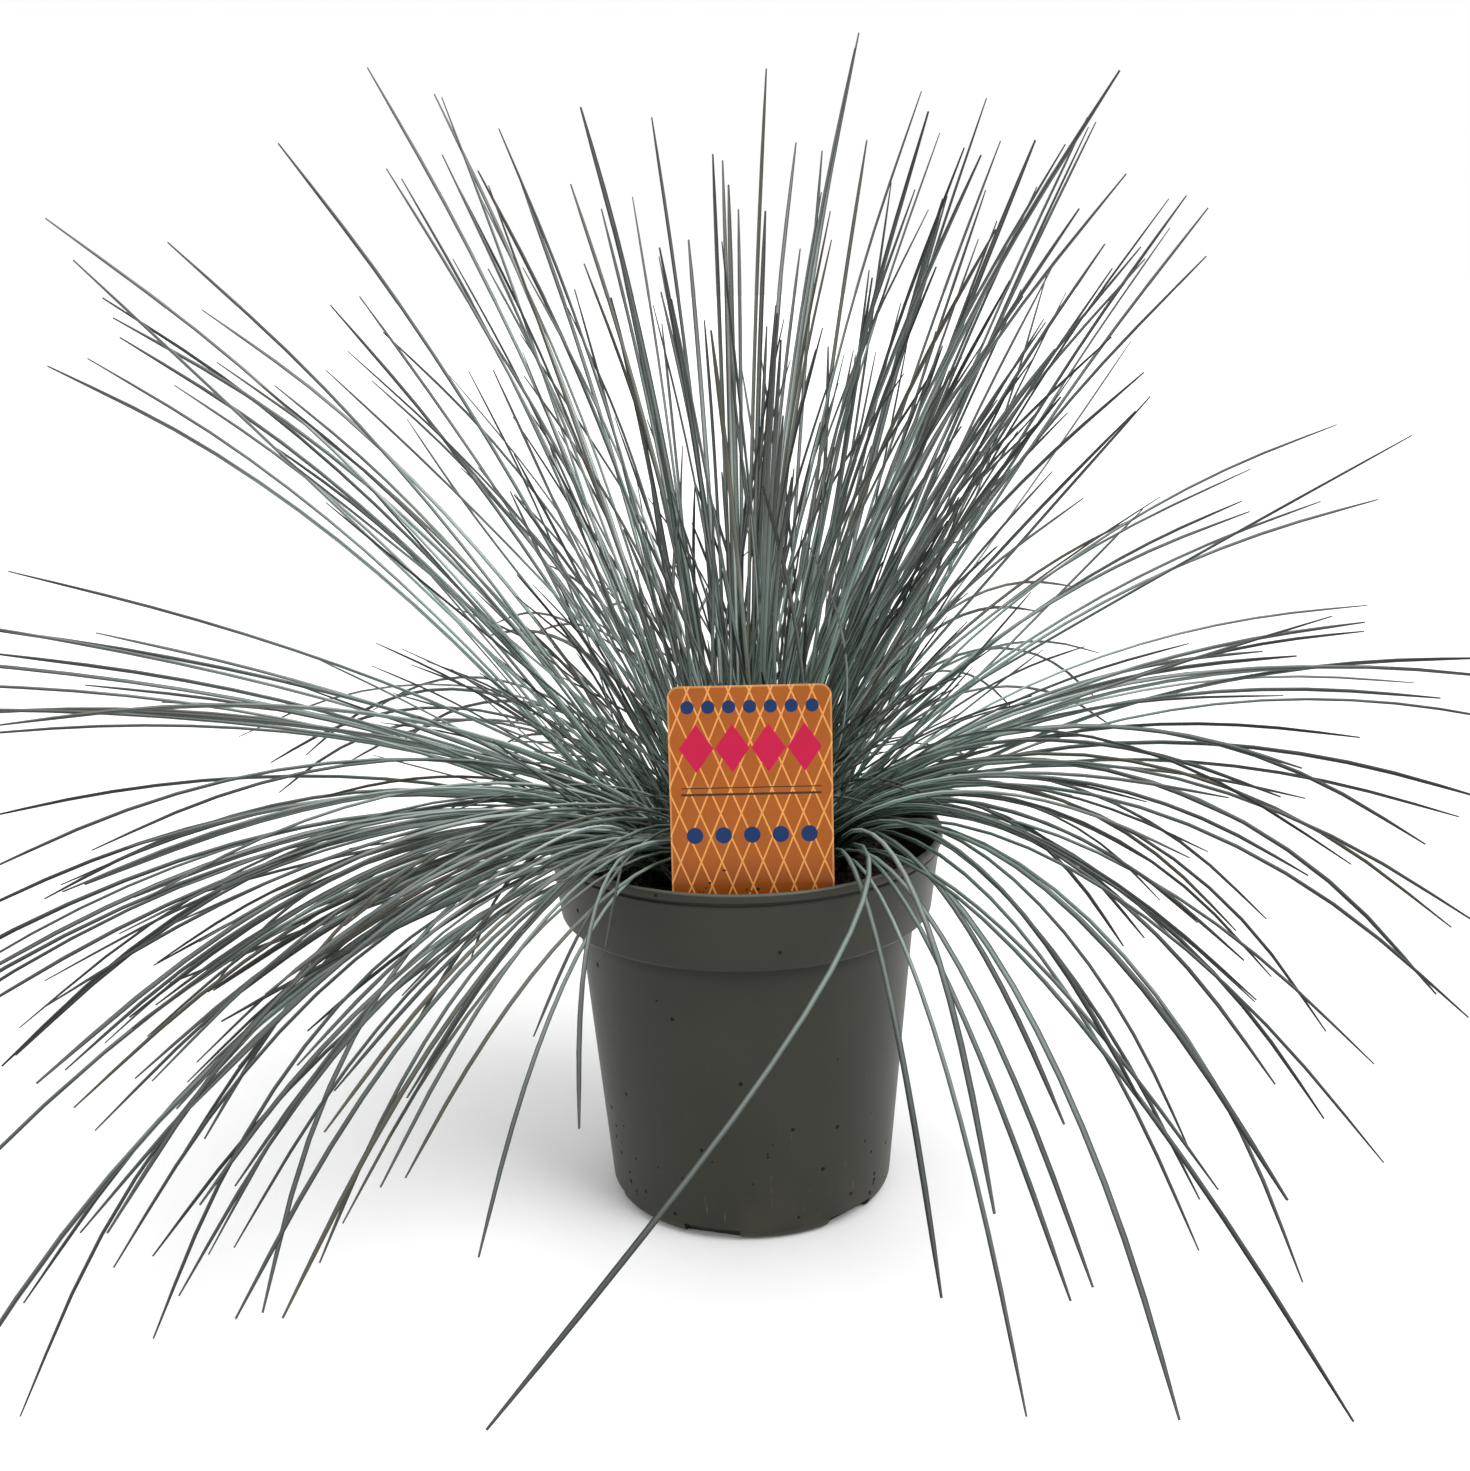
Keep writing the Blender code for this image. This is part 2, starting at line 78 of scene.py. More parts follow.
# The plant label, as its solid has it: rows of (y, z, width) down its course.
LABEL_MIDDLE = 0.2 * CM
LABEL_WIDTH = 4.9 * CM
LABEL_THICKNESS = 0.05 * CM
LABEL_TOP = 18.65 * CM
LABEL_CORNER = 0.35 * CM
STAKE_WIDTH = 1.2 * CM
STAKE_TIP = 0.2 * CM
LABEL_COURSE = [
    (-4.95 * CM, LABEL_TOP, LABEL_WIDTH), (-5.60 * CM, 12.60 * CM, LABEL_WIDTH),
    (-5.63 * CM, 12.30 * CM, LABEL_WIDTH), (-5.66 * CM, 11.90 * CM, 3.0 * CM),
    (-5.58 * CM, 11.30 * CM, STAKE_WIDTH), (-5.38 * CM, 10.60 * CM, STAKE_WIDTH),
    (-5.05 * CM, 9.60 * CM, STAKE_WIDTH), (-4.70 * CM, 8.40 * CM, STAKE_WIDTH),
    (-4.35 * CM, 7.20 * CM, STAKE_TIP),
]
LABEL_PRINT_HEIGHT = (Vector(LABEL_COURSE[0][:2]) - Vector(LABEL_COURSE[1][:2])).length
LABEL_COLUMNS = 10
LABEL_CORNER_ROWS = 7
LABEL_PLATE_ROWS = 8
STAKE_ROWS = 3
LABEL_SHARP_ANGLE = 40

# The grass.
CROWN_RADIUS = 3.5 * CM
CROWN_LEVEL = 11.2 * CM
SHOOT_LEAF_WIDTHS = (1.3 * MM, 1.8 * MM)
# How the finer leaves differ from the leaf of a shoot that they grow beside, by kind. The angles are in
# degrees, shift is how far aside they root, and reach is their length's share of that leaf's.
FINE_LEAVES = {
    "close": dict(count=1, widths=(1.1 * MM, 1.5 * MM), shift=1.5 * MM, turn=5, sweep=5, tilt=4, lean=(-5, 4),
                  curl=5, reach=(0.75, 1.0)),
    "upright": dict(count=3, widths=(0.85 * MM, 1.35 * MM), shift=7.0 * MM, turn=30, sweep=20, tilt=28,
                    lean=(-16, 10), curl=12, reach=(0.35, 0.92)),
    "short": dict(count=2, widths=(0.8 * MM, 1.2 * MM), shift=8.0 * MM, turn=40, sweep=20, tilt=30,
                  lean=(-20, 14), curl=12, reach=(0.2, 0.55)),
    "sweeping": dict(count=2, widths=(1.2 * MM, 1.7 * MM), shift=3.0 * MM, turn=16, sweep=20, tilt=9,
                     lean=(-6, 10), curl=12, reach=(0.6, 1.0)),
    "drooping": dict(count=1, widths=(1.0 * MM, 1.5 * MM), shift=4.0 * MM, turn=14, sweep=18, tilt=10,
                     lean=(-14, 8), curl=14, reach=(0.5, 1.0)),
}
# In degrees from upright: a leaf belongs to the fan up to the first lean, as seen from the front, and hangs
# past the second. A hanging leaf turns its shaded side to the camera, so it is darkened by painted shade.
STANDING_LEAN = 35.0
HANGING_LEAN = 80.0
HANGING_SHADE = 0.4
TRIES_PER_LEAF = 5
LEAF_STEPS = 17
LEAF_TWIST = 16
CORNER_CUTS = 2
DRYNESS = (0.0,) * 13 + (0.3,)  # one leaf in fourteen is partly dry
ROOTS_WITHIN = 3.2 * CM
BOX_MARGIN = 1.5 * MM
LOWEST_LEAF = 0.4 * CM
OVER_RIM = 0.15 * CM
POT_MOUTH = COLLAR_FOOT_RADIUS - WALL - OVER_RIM
# The room round the label that finer leaves keep out of: beside and above it, and from front to back.
BESIDE_LABEL = 0.12 * CM
LABEL_ROOM_FRONT = -6.2 * CM
LABEL_ROOM_BACK = -4.6 * CM
# What finer leaves leave free to the camera, as (left, right, low, high) in the label's upright plane: the
# label and the pot to leaves in front of them, and the soil at the right to all but those behind the crown.
LABEL_WINDOW = (LABEL_MIDDLE - LABEL_WIDTH / 2, LABEL_MIDDLE + LABEL_WIDTH / 2, 12.4 * CM, LABEL_TOP)
POT_WINDOW = (-3.9 * CM, 5.6 * CM, 0.0, 12.4 * CM)
SOIL_WINDOW = (2.8 * CM, 5.7 * CM, 12.4 * CM, 14.4 * CM)
IN_FRONT = -5.8 * CM
BEHIND_CROWN = 3.0 * CM

# The soil's crumbs.
CRUMB_SIZE = 0.95 * MM
CRUMBS_PER_AREA = 420000.0
CRUMB_EDGE = 5.84 * CM
FACING_UP = 0.5

# The camera, as worked out from the pot's rim, collar and foot in a frame of 1470 by 1471 pixels.
CAMERA_PLACE = (-0.25 * CM, -60.58 * CM, 32.68 * CM)
CAMERA_PITCH = 15.64
CAMERA_ROLL = -1.32
CAMERA_LENS = 47.3
CAMERA_SENSOR = 36.0


# ---------------------------------------------------------------- making things

def srgb(red, green, blue):
    """A colour given as it shows on a screen, 0 to 255."""
    def linear(value):
        value /= 255
        return value / 12.92 if value <= 0.04045 else ((value + 0.055) / 1.055) ** 2.4
    return (linear(red), linear(green), linear(blue), 1.0)


def put(tree, kind, sockets=None, **settings):
    """A new node. Each socket takes a value, or is joined to another node's output."""
    made = tree.nodes.new(kind)
    for name, value in settings.items():
        setattr(made, name, value)
    for name, value in (sockets or {}).items():
        if isinstance(value, bpy.types.NodeSocket):
            tree.links.new(value, made.inputs[name])
        else:
            made.inputs[name].default_value = value
    return made


def calc(tree, operation, first, second=0.0, third=0.0):
    """The outcome of a math node."""
    return put(tree, "ShaderNodeMath", {0: first, 1: second, 2: third}, operation=operation).outputs[0]


def spread(tree, value, low, high, out_low=0.0, out_high=1.0):
    """A value taken from the range low to high onto the range out_low to out_high."""
    sockets = {"Value": value, "From Min": low, "From Max": high, "To Min": out_low, "To Max": out_high}
    return put(tree, "ShaderNodeMapRange", sockets).outputs[0]


def mixed(tree, share, first, second, blend_type="MIX"):
    sockets = {0: share, 6: first, 7: second}
    return put(tree, "ShaderNodeMix", sockets, data_type="RGBA", blend_type=blend_type).outputs[2]


def ramp(tree, value, stops):
    made = put(tree, "ShaderNodeValToRGB", {0: value})
    elements = made.color_ramp.elements
    while len(elements) < len(stops):
        elements.new(0.5)
    for element, (place, colour) in zip(elements, stops):
        element.position = place
        element.color = colour
    return made.outputs[0]


def noise(tree, place, scale, detail=3.0, roughness=0.55):
    sockets = {"Vector": place, "Scale": scale, "Detail": detail, "Roughness": roughness}
    return put(tree, "ShaderNodeTexNoise", sockets).outputs[0]


def object_place(tree):
    return put(tree, "ShaderNodeTexCoord").outputs["Object"]


def mark(tree, name):
    """A number that a piece carries at each of its points."""
    return put(tree, "ShaderNodeAttribute", attribute_name=name).outputs["Fac"]


def finish(name, roughness=0.5, specular=0.5):
    """A new material's node tree and its shader."""
    made = bpy.data.materials.new(name)
    made.use_nodes = True
    shader = made.node_tree.nodes["Principled BSDF"]
    shader.inputs["Roughness"].default_value = roughness
    shader.inputs["Specular IOR Level"].default_value = specular
    return made, made.node_tree, shader


def set_bump(tree, shader, height, strength, distance):
    bump = put(tree, "ShaderNodeBump", {"Height": height, "Strength": strength, "Distance": distance})
    tree.links.new(bump.outputs[0], shader.inputs["Normal"])


def group_of(name, inputs, outputs):
    """A new shader node group, with its own input and output nodes."""
    tree = bpy.data.node_groups.new(name, "ShaderNodeTree")
    for title, kind, value in inputs:
        socket = tree.interface.new_socket(title, in_out="INPUT", socket_type=kind)
        socket.default_value = value
    for title, kind in outputs:
        tree.interface.new_socket(title, in_out="OUTPUT", socket_type=kind)
    return tree, tree.nodes.new("NodeGroupInput").outputs, tree.nodes.new("NodeGroupOutput").inputs


def use_group(tree, group, sockets):
    return put(tree, "ShaderNodeGroup", sockets, node_tree=group).outputs


# ---------------------------------------------------------------- finishes

def mottling_group():
    """Cloudy lighter and darker patches, with a height that follows them."""
    colour, number = "NodeSocketColor", "NodeSocketFloat"
    tree, given, out = group_of(
        "mottling",
        [("Colour", colour, (0.5, 0.5, 0.5, 1)), ("Dark", number, 0.8), ("Light", number, 1.2),
         ("Scale", number, 60.0)],
        [("Colour", colour), ("Height", number)])
    cloud = noise(tree, object_place(tree), given["Scale"])
    level = spread(tree, cloud, 0.3, 0.7, given["Dark"], given["Light"])
    grey = put(tree, "ShaderNodeCombineColor", {0: level, 1: level, 2: level}).outputs[0]
    tree.links.new(mixed(tree, 1.0, given["Colour"], grey, "MULTIPLY"), out["Colour"])
    tree.links.new(cloud, out["Height"])
    return tree


def speck_group():
    """Small specks of soil, each of its own size, thickest below a height."""
    colour, number = "NodeSocketColor", "NodeSocketFloat"
    tree, given, out = group_of(
        "soil_specks",
        [("Colour", colour, (0.5, 0.5, 0.5, 1)), ("Scale", number, 300.0), ("Share", number, 0.05),
         ("Size", number, 0.3), ("Low", number, 0.0), ("High", number, 0.06), ("Above", number, 0.05)],
        [("Colour", colour), ("Mask", number)])
    place = object_place(tree)
    cells = put(tree, "ShaderNodeTexVoronoi", {"Vector": place, "Scale": given["Scale"]})
    pick = put(tree, "ShaderNodeSeparateColor", {0: cells.outputs["Color"]}).outputs
    height = put(tree, "ShaderNodeSeparateXYZ", {0: place}).outputs["Z"]
    fade = spread(tree, height, given["Low"], given["High"], 1.0, given["Above"])
    chosen = calc(tree, "LESS_THAN", pick[0], calc(tree, "MULTIPLY", given["Share"], fade))
    reach = calc(tree, "MULTIPLY", given["Size"], calc(tree, "ADD", 0.4, pick[1]))
    near = calc(tree, "LESS_THAN", cells.outputs["Distance"], reach)
    mask = calc(tree, "MULTIPLY", chosen, near)
    tree.links.new(mixed(tree, mask, given["Colour"], srgb(24, 18, 14)), out["Colour"])
    tree.links.new(mask, out["Mask"])
    return tree


def leaf_finish():
    """Blue-grey over green, tawny at the sheath and tip, lighter mid-leaf and darker towards the tip as
    painted light and shade, with a painted highlight down the ridge and painted shade along the sides.
    """
    made, tree, shader = finish("fescue_leaf_finish", 0.5, 0.15)
    along, tone, dry = mark(tree, "along"), mark(tree, "tone"), mark(tree, "dry")
    ridge, upper = mark(tree, "ridge"), mark(tree, "upper")
    # The leaf's own colours along it (tawny sheath, green base, blue-grey), lightened mid-leaf by painted
    # light and darkened towards the tip by painted shade.
    colour_and_painted_light = ramp(tree, along, [
        (0.0, srgb(62, 56, 38)), (0.04, srgb(50, 72, 46)), (0.10, srgb(88, 124, 96)),
        (0.22, srgb(138, 170, 154)), (0.42, srgb(130, 152, 145)), (0.58, srgb(118, 127, 123)),
        (0.78, srgb(94, 97, 95)), (0.95, srgb(70, 71, 70)), (1.0, srgb(62, 58, 52))])
    place = object_place(tree)
    patch = use_group(tree, MOTTLING, {"Colour": colour_and_painted_light, "Dark": 0.72, "Light": 1.3, "Scale": 45.0})["Colour"]
    level = ramp(tree, tone, [(0.0, srgb(120, 124, 120)), (0.5, srgb(190, 194, 190)),
                              (0.8, srgb(228, 232, 230)), (1.0, srgb(255, 255, 255))])
    body = mixed(tree, 1.0, patch, level, "MULTIPLY")
    # Painted highlight down the ridge, strongest on the upper side and in the lower half of the leaf.
    ridge_highlight = calc(tree, "MULTIPLY", ridge, calc(tree, "MULTIPLY_ADD", upper, 0.9, 0.2))
    highlight_along = ramp(tree, along, [(0.03, (0.1, 0.1, 0.1, 1)), (0.12, (1, 1, 1, 1)),
                               (0.45, (0.75, 0.75, 0.75, 1)), (0.8, (0.2, 0.2, 0.2, 1))])
    painted_highlight = calc(tree, "MULTIPLY", calc(tree, "MULTIPLY", ridge_highlight, highlight_along), spread(tree, tone, 0.1, 1.0, 0.3, 1.0))
    highlighted = mixed(tree, painted_highlight, body, srgb(214, 224, 220))
    # Painted shade along the sides of the needle, away from the ridge.
    edge = spread(tree, ridge, 0.0, 0.35, 0.6, 0.0)
    side_shaded = mixed(tree, edge, highlighted, srgb(24, 32, 28))
    straw = mixed(tree, noise(tree, place, 150.0), srgb(104, 84, 56), srgb(70, 56, 38))
    tree.links.new(mixed(tree, dry, side_shaded, straw), shader.inputs["Base Color"])
    gloss = spread(tree, noise(tree, place, 220.0), 0.3, 0.7, 0.42, 0.62)
    tree.links.new(gloss, shader.inputs["Roughness"])
    lines = calc(tree, "SINE", calc(tree, "MULTIPLY", ridge, 14.0))
    set_bump(tree, shader, lines, 0.25, 0.08 * MM)
    return made


def pot_finish():
    """Olive-grey moulded plastic: faint clouds and scratches, soil specks, a dustier foot, painted shade
    under the collar and the lip, and a painted highlight along the rim's top edge.
    """
    made, tree, shader = finish("pot_plastic_finish", 0.42, 0.2)
    place = object_place(tree)
    height = put(tree, "ShaderNodeSeparateXYZ", {0: place}).outputs["Z"]
    cloud = use_group(tree, MOTTLING, {"Colour": srgb(45, 45, 38), "Dark": 0.9, "Light": 1.1, "Scale": 28.0})

    def band(top, fade, depth):
        """A strip of painted shade that is darkest right under a ledge and fades downwards."""
        below = spread(tree, height, top - fade, top - 0.1 * fade, 0.0, depth)
        return calc(tree, "MULTIPLY", below, calc(tree, "LESS_THAN", height, top))

    # Painted shade: darker bands right under the collar and under the lip.
    painted_shade = calc(tree, "MAXIMUM", band(COLLAR_FOOT_HEIGHT + 0.1 * MM, 0.65 * CM, 0.85),
                 band(POT_HEIGHT - LIP_HEIGHT + 0.4 * MM, 0.2 * CM, 0.7))
    shaded = mixed(tree, painted_shade, cloud["Colour"], srgb(12, 11, 9))
    # Painted highlight: a lighter line along the rim's top edge.
    rim_highlight = spread(tree, height, POT_HEIGHT - 0.8 * MM, POT_HEIGHT - 0.3 * MM, 0.0, 0.5)
    shaded = mixed(tree, rim_highlight, shaded, srgb(104, 104, 96))
    dust = calc(tree, "MULTIPLY", spread(tree, height, 0.0, 3.2 * CM, 0.5, 0.0),
                spread(tree, noise(tree, place, 70.0, 6.0), 0.45, 0.7))
    dusty = mixed(tree, dust, shaded, srgb(64, 58, 46))
    stretched = put(tree, "ShaderNodeMapping", {"Vector": place, "Rotation": (0.3, 0.5, 0.9),
                                                "Scale": (26.0, 26.0, 1.6)}).outputs[0]
    lines = noise(tree, stretched, 30.0, 4.0)
    low = spread(tree, height, 1.0 * CM, 7.0 * CM, 1.0, 0.15)
    scratch = calc(tree, "MULTIPLY", spread(tree, lines, 0.68, 0.72), low)
    worn = mixed(tree, calc(tree, "MULTIPLY", scratch, 0.35), dusty, srgb(98, 98, 90))
    specks = use_group(tree, SPECKS, {"Colour": worn, "Scale": 620.0, "Share": 0.05, "Size": 0.4,
                                      "Low": 0.8 * CM, "High": 5.0 * CM})
    tree.links.new(specks["Colour"], shader.inputs["Base Color"])
    smudge = spread(tree, noise(tree, place, 14.0, 5.0), 0.3, 0.7, 0.36, 0.5)
    tree.links.new(mixed(tree, specks["Mask"], smudge, (0.95, 0.95, 0.95, 1)), shader.inputs["Roughness"])
    grain = calc(tree, "MULTIPLY_ADD", noise(tree, place, 900.0), 0.12,
                 calc(tree, "SUBTRACT", specks["Mask"], calc(tree, "MULTIPLY", scratch, 0.5)))
    set_bump(tree, shader, grain, 0.35, 0.25 * MM)
    return made


def soil_finish():
    """Near-black peat with brown bark bits, damp in places."""
    made, tree, shader = finish("potting_soil_finish", 0.9, 0.3)
    place, tone = object_place(tree), mark(tree, "tone")
    peat = ramp(tree, noise(tree, place, 420.0, 5.0), [(0.3, srgb(20, 16, 13)), (0.55, srgb(40, 31, 24)),
                                                       (0.75, srgb(72, 54, 38))])
    bits = mixed(tree, spread(tree, tone, 0.55, 1.0), peat, srgb(96, 72, 50))
    cloud = use_group(tree, MOTTLING, {"Colour": bits, "Dark": 0.6, "Light": 1.15, "Scale": 90.0})
    tree.links.new(cloud["Colour"], shader.inputs["Base Color"])
    tree.links.new(spread(tree, cloud["Height"], 0.3, 0.7, 0.7, 0.98), shader.inputs["Roughness"])
    set_bump(tree, shader, noise(tree, place, 650.0, 6.0, 0.7), 0.9, 0.8 * MM)
    return made


def label_finish():
    """A printed sheet: a pale trellis on orange, discs, lozenges and rules, and a bare pale edge."""
    made, tree, shader = finish("label_print_finish", 0.34, 0.2)
    spot = put(tree, "ShaderNodeSeparateXYZ", {0: put(tree, "ShaderNodeUVMap", uv_map="print").outputs[0]})
    across, up = spot.outputs["X"], spot.outputs["Y"]
    place = object_place(tree)
    orange = mixed(tree, spread(tree, up, 0.0, 1.0 * CM, 0.45, 0.0), srgb(146, 77, 18), srgb(110, 46, 6))

    def lattice(lean, gap, width):
        slant = calc(tree, "MULTIPLY_ADD", up, lean, across)
        saw = calc(tree, "PINGPONG", slant, gap / 2)
        return spread(tree, saw, width * 0.4, width * 0.6, 1.0, 0.0)

    lines = calc(tree, "MAXIMUM", lattice(0.42, 6.2 * MM, 0.55 * MM), lattice(-0.42, 6.2 * MM, 0.55 * MM))
    field = mixed(tree, calc(tree, "MULTIPLY", lines, 0.85), orange, srgb(214, 146, 78))

    def row(middle, count, pitch, half_width, half_height, power):
        """A row of like shapes round one height: lozenges at a power of one, discs at two."""
        shift = (count + (count + 1) % 2 / 2) * pitch
        from_middle = calc(tree, "PINGPONG", calc(tree, "ADD", across, shift), pitch / 2)
        side = calc(tree, "DIVIDE", from_middle, half_width)
        rise = calc(tree, "DIVIDE", calc(tree, "ABSOLUTE", calc(tree, "SUBTRACT", up, middle)), half_height)
        size = calc(tree, "ADD", calc(tree, "POWER", side, power), calc(tree, "POWER", rise, power))
        inside = calc(tree, "LESS_THAN", calc(tree, "ABSOLUTE", across), count * pitch / 2)
        return calc(tree, "MULTIPLY", spread(tree, size, 0.97, 1.03, 1.0, 0.0), inside)

    def rule(middle, half_width, thickness):
        level = calc(tree, "ABSOLUTE", calc(tree, "SUBTRACT", up, middle))
        inside = calc(tree, "LESS_THAN", calc(tree, "ABSOLUTE", across), half_width)
        return calc(tree, "MULTIPLY", calc(tree, "LESS_THAN", level, thickness / 2), inside)

    printed = mixed(tree, row(5.45 * CM, 7, 0.62 * CM, 0.2 * CM, 0.2 * CM, 2.0), field, srgb(6, 40, 84))
    printed = mixed(tree, row(4.2 * CM, 4, 1.08 * CM, 0.52 * CM, 0.74 * CM, 1.0), printed, srgb(172, 8, 58))
    printed = mixed(tree, row(1.55 * CM, 5, 0.86 * CM, 0.25 * CM, 0.25 * CM, 2.0), printed, srgb(6, 40, 84))
    for middle, half_width, thickness in ((3.0 * CM, 2.1 * CM, 0.35 * MM), (2.8 * CM, 2.1 * CM, 0.7 * MM)):
        printed = mixed(tree, rule(middle, half_width, thickness), printed, srgb(56, 36, 18))
    side_end, top_end = LABEL_WIDTH / 2 - LABEL_CORNER, LABEL_PRINT_HEIGHT - LABEL_CORNER
    past_side = calc(tree, "MAXIMUM", calc(tree, "SUBTRACT", calc(tree, "ABSOLUTE", across), side_end), 0.0)
    past_top = calc(tree, "MAXIMUM", calc(tree, "SUBTRACT", up, top_end), 0.0)
    past = put(tree, "ShaderNodeCombineXYZ", {"X": past_side, "Y": past_top}).outputs[0]
    reach = put(tree, "ShaderNodeVectorMath", {0: past}, operation="LENGTH").outputs["Value"]
    border = calc(tree, "GREATER_THAN", reach, LABEL_CORNER - 0.55 * MM)
    bordered = mixed(tree, calc(tree, "MULTIPLY", border, 0.4), printed, srgb(214, 160, 98))
    bare = mark(tree, "bare")
    sheet = mixed(tree, bare, bordered, srgb(206, 168, 116))
    mottled = use_group(
        tree, MOTTLING, {"Colour": sheet, "Dark": 0.93, "Light": 1.05, "Scale": 55.0})["Colour"]
    specks = use_group(tree, SPECKS, {"Colour": mottled, "Scale": 900.0, "Share": 0.05, "Size": 0.4,
                                      "Low": 12.5 * CM, "High": 13.1 * CM, "Above": 0.0})
    tree.links.new(specks["Colour"], shader.inputs["Base Color"])
    smear = spread(tree, noise(tree, place, 90.0, 4.0), 0.3, 0.7, 0.28, 0.42)
    tree.links.new(mixed(tree, specks["Mask"], smear, (0.9, 0.9, 0.9, 1)), shader.inputs["Roughness"])
    set_bump(tree, shader, noise(tree, place, 500.0), 0.08, 0.1 * MM)
    return made


def floor_finish():
    made, tree, shader = finish("studio_floor_finish", 0.9, 0.1)
    shade = use_group(
        tree, MOTTLING, {"Colour": (0.9, 0.9, 0.9, 1), "Dark": 0.99, "Light": 1.01, "Scale": 2.0})
    tree.links.new(shade["Colour"], shader.inputs["Base Color"])
    return made


# ---------------------------------------------------------------- pieces

def add_piece(name, mesh, slot, *nodes):
    """A finished piece that rides on the part's one body and stands for the nodes named."""
    thing = bpy.data.objects.new(name, mesh)
    bpy.context.scene.collection.objects.link(thing)
    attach(thing, "root")
    if nodes:
        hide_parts(*nodes)


def grown(tree, mesh, values):
    """The plain mesh that a tree of geometry nodes makes of a mesh, with its named inputs set."""
    holder = bpy.data.objects.new("holder", mesh)
    bpy.context.scene.collection.objects.link(holder)
    modifier = holder.modifiers.new("grow", "NODES")
    modifier.node_group = tree
    for item in tree.interface.items_tree:
        if item.item_type == "SOCKET" and item.in_out == "INPUT" and item.name in values:
            modifier[item.identifier] = values[item.name]
    finished = bpy.data.meshes.new_from_object(holder.evaluated_get(bpy.context.evaluated_depsgraph_get()))
    holder.modifiers.remove(modifier)
    bpy.data.objects.remove(holder)
    return finished


def tree_of(name, inputs):
    """A new tree of geometry nodes that takes one geometry and named values and gives one geometry."""
    tree = bpy.data.node_groups.new(name, "GeometryNodeTree")
    tree.interface.new_socket("Start", in_out="INPUT", socket_type="NodeSocketGeometry")
    for title, kind, value in inputs:
        socket = tree.interface.new_socket(title, in_out="INPUT", socket_type=kind)
        if value is not None:
            socket.default_value = value
    tree.interface.new_socket("Finished", in_out="OUTPUT", socket_type="NodeSocketGeometry")
    return tree, tree.nodes.new("NodeGroupInput").outputs, tree.nodes.new("NodeGroupOutput").inputs


def stored(tree, geometry, name, value, domain="POINT"):
    sockets = {"Geometry": geometry, "Name": name, "Value": value}
    return put(tree, "GeometryNodeStoreNamedAttribute", sockets, data_type="FLOAT", domain=domain).outputs[0]


def carried(tree, name):
    return put(tree, "GeometryNodeInputNamedAttribute", {"Name": name}, data_type="FLOAT").outputs[0]


# ---------------------------------------------------------------- grass

def leaf_tree():
    """Sweeps a keeled needle along each course: stout in the sheath, even, then drawn to a point."""
    number = "NodeSocketFloat"
    tree, given, out = tree_of("needle_leaves", [
        ("Steps", "NodeSocketInt", 16), ("Taper", number, 25.0), ("Tip", number, 0.4), ("Keel", number, 0.8),
        ("Sheath", number, 1.2), ("Sheath End", number, 0.05), ("Finish", "NodeSocketMaterial", None)])
    course = put(tree, "GeometryNodeMeshToCurve", {"Mesh": given["Start"]}).outputs[0]
    smooth = put(tree, "GeometryNodeCurveSplineType", {"Curve": course}, spline_type="CATMULL_ROM").outputs[0]
    even = put(tree, "GeometryNodeResampleCurve", {"Curve": smooth, "Count": given["Steps"]}).outputs[0]
    level = put(tree, "GeometryNodeSetCurveNormal", {"Curve": even}, mode="Z_UP").outputs[0]
    twist = carried(tree, "twist")
    twisted = put(tree, "GeometryNodeSetCurveTilt", {"Curve": level, "Tilt": twist}).outputs[0]
    along = put(tree, "GeometryNodeSplineParameter").outputs["Factor"]
    marked = stored(tree, twisted, "along", along)
    narrowing = calc(tree, "SUBTRACT", 1.0, calc(tree, "POWER", along, given["Taper"]))
    pointed = calc(tree, "MAXIMUM", narrowing, given["Tip"])
    stout = spread(tree, along, 0.0, given["Sheath End"], given["Sheath"], 1.0)
    girth = calc(tree, "MULTIPLY", calc(tree, "MULTIPLY", pointed, stout), carried(tree, "girth"))
    ring = put(tree, "GeometryNodeCurvePrimitiveCircle", {"Resolution": 4, "Radius": 1.0}).outputs[0]
    place = put(tree, "GeometryNodeInputPosition").outputs[0]
    corner = put(tree, "ShaderNodeSeparateXYZ", {0: place}).outputs
    ridged = stored(tree, ring, "ridge", calc(tree, "ABSOLUTE", corner["Y"]))
    faced = stored(tree, ridged, "upper", calc(tree, "LESS_THAN", corner["Y"], 0.0))
    shape = put(tree, "ShaderNodeCombineXYZ", {"X": 1.0, "Y": given["Keel"], "Z": 1.0}).outputs[0]
    profile = put(tree, "GeometryNodeTransform", {"Geometry": faced, "Scale": shape}).outputs[0]
    swept = put(tree, "GeometryNodeCurveToMesh", {"Curve": marked, "Profile Curve": profile, "Scale": girth,
                                                  "Fill Caps": True}).outputs[0]
    soft = put(tree, "GeometryNodeSetShadeSmooth", {"Geometry": swept, "Shade Smooth": True}).outputs[0]
    whole = put(tree, "GeometryNodeRealizeInstances", {"Geometry": soft}).outputs[0]
    done = put(tree, "GeometryNodeSetMaterial", {"Geometry": whole, "Material": given["Finish"]}).outputs[0]
    tree.links.new(done, out["Finished"])
    return tree


